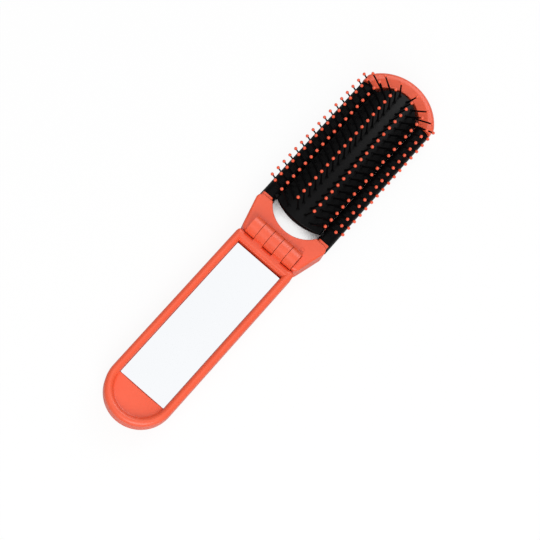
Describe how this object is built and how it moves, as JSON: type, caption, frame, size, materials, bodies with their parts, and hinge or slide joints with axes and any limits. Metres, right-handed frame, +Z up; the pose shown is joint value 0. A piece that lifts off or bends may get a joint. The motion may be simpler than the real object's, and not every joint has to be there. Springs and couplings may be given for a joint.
{
  "type": "folding hairbrush",
  "caption": "Pocket hairbrush that folds in half: a brush head with side rails and a domed pad of ball-tipped pins, hinged to a handle with a mirror.",
  "frame": {"origin": "on the resting plane, straight under the middle of the hinge pin", "axes": "+X across the brush to the right, +Y from the handle to the brush head, +Z up, out of the pins"},
  "size_m": [0.0388, 0.1892, 0.0234],
  "materials": {
    "coral_plastic": "satin moulded plastic",
    "black_plastic": "satin moulded plastic",
    "pin_steel": "plain drawn steel",
    "mirror_glass": "silvered glass",
    "adhesive_foam": "foam adhesive",
    "carrier_plastic": "plain moulded plastic",
    "pad_rubber": "smooth glossy rubber",
    "pin_nylon": "smooth nylon",
    "ball_tip": "dipped plastic"
  },
  "bodies": {
    "head": {"neck_frame": "coral_plastic", "crown_cap": "coral_plastic", "rail_left": "black_plastic", "rail_right": "black_plastic", "hinge_pin": "pin_steel"},
    "handle": {"handle_shell": "coral_plastic", "mirror": "mirror_glass", "mirror_tape": "adhesive_foam"},
    "pad": {"bristle_pad": "pad_rubber", "pad_carrier": "carrier_plastic"},
    "row_1": {"pin_row_1": "pin_nylon", "ball_row_1": "ball_tip"},
    "row_2": {"pin_row_2": "pin_nylon", "ball_row_2": "ball_tip"},
    "row_3": {"pin_row_3": "pin_nylon", "ball_row_3": "ball_tip"},
    "row_4": {"pin_row_4": "pin_nylon", "ball_row_4": "ball_tip"},
    "row_5": {"pin_row_5": "pin_nylon", "ball_row_5": "ball_tip"},
    "row_6": {"pin_row_6": "pin_nylon", "ball_row_6": "ball_tip"},
    "row_7": {"pin_row_7": "pin_nylon", "ball_row_7": "ball_tip"},
    "row_8": {"pin_row_8": "pin_nylon", "ball_row_8": "ball_tip"}
  },
  "joints": [
    {"name": "handle_fold", "type": "hinge", "parent": "head", "child": "handle", "pos_m": [0, 0, 0.0118], "axis": [-1, 0, 0], "range_deg": [0, 180]},
    {"name": "pad_lift", "type": "slide", "parent": "head", "child": "pad", "axis": [0, 0, 1], "range_m": [-0.0088, 0]},
    {"name": "row_1_lean", "type": "hinge", "parent": "pad", "child": "row_1", "pos_m": [-0.00984, 0.05, 0.01008], "axis": [0, 1, 0], "range_deg": [0, 53.9]},
    {"name": "row_2_lean", "type": "hinge", "parent": "pad", "child": "row_2", "pos_m": [-0.00813, 0.05, 0.01062], "axis": [0, 1, 0], "range_deg": [0, 42.5]},
    {"name": "row_3_lean", "type": "hinge", "parent": "pad", "child": "row_3", "pos_m": [-0.0055, 0.05, 0.01124], "axis": [0, 1, 0], "range_deg": [0, 23.7]},
    {"name": "row_4_lean", "type": "hinge", "parent": "pad", "child": "row_4", "pos_m": [-0.00195, 0.05, 0.01169], "axis": [0, 1, 0], "range_deg": [0, 6]},
    {"name": "row_5_lean", "type": "hinge", "parent": "pad", "child": "row_5", "pos_m": [0.00195, 0.05, 0.01169], "axis": [0, 1, 0], "range_deg": [-6, 0]},
    {"name": "row_6_lean", "type": "hinge", "parent": "pad", "child": "row_6", "pos_m": [0.0055, 0.05, 0.01124], "axis": [0, 1, 0], "range_deg": [-23.7, 0]},
    {"name": "row_7_lean", "type": "hinge", "parent": "pad", "child": "row_7", "pos_m": [0.00813, 0.05, 0.01062], "axis": [0, 1, 0], "range_deg": [-42.5, 0]},
    {"name": "row_8_lean", "type": "hinge", "parent": "pad", "child": "row_8", "pos_m": [0.00984, 0.05, 0.01008], "axis": [0, 1, 0], "range_deg": [-53.9, 0]}
  ],
  "couplings": [
    {"joint": "pad_lift", "follows": "handle_fold", "m_per_rad": -0.002801},
    {"joint": "row_1_lean", "follows": "handle_fold", "ratio": 0.29944},
    {"joint": "row_2_lean", "follows": "handle_fold", "ratio": 0.23611},
    {"joint": "row_3_lean", "follows": "handle_fold", "ratio": 0.13167},
    {"joint": "row_4_lean", "follows": "handle_fold", "ratio": 0.033333},
    {"joint": "row_5_lean", "follows": "handle_fold", "ratio": -0.033333},
    {"joint": "row_6_lean", "follows": "handle_fold", "ratio": -0.13167},
    {"joint": "row_7_lean", "follows": "handle_fold", "ratio": -0.23611},
    {"joint": "row_8_lean", "follows": "handle_fold", "ratio": -0.29944}
  ]
}
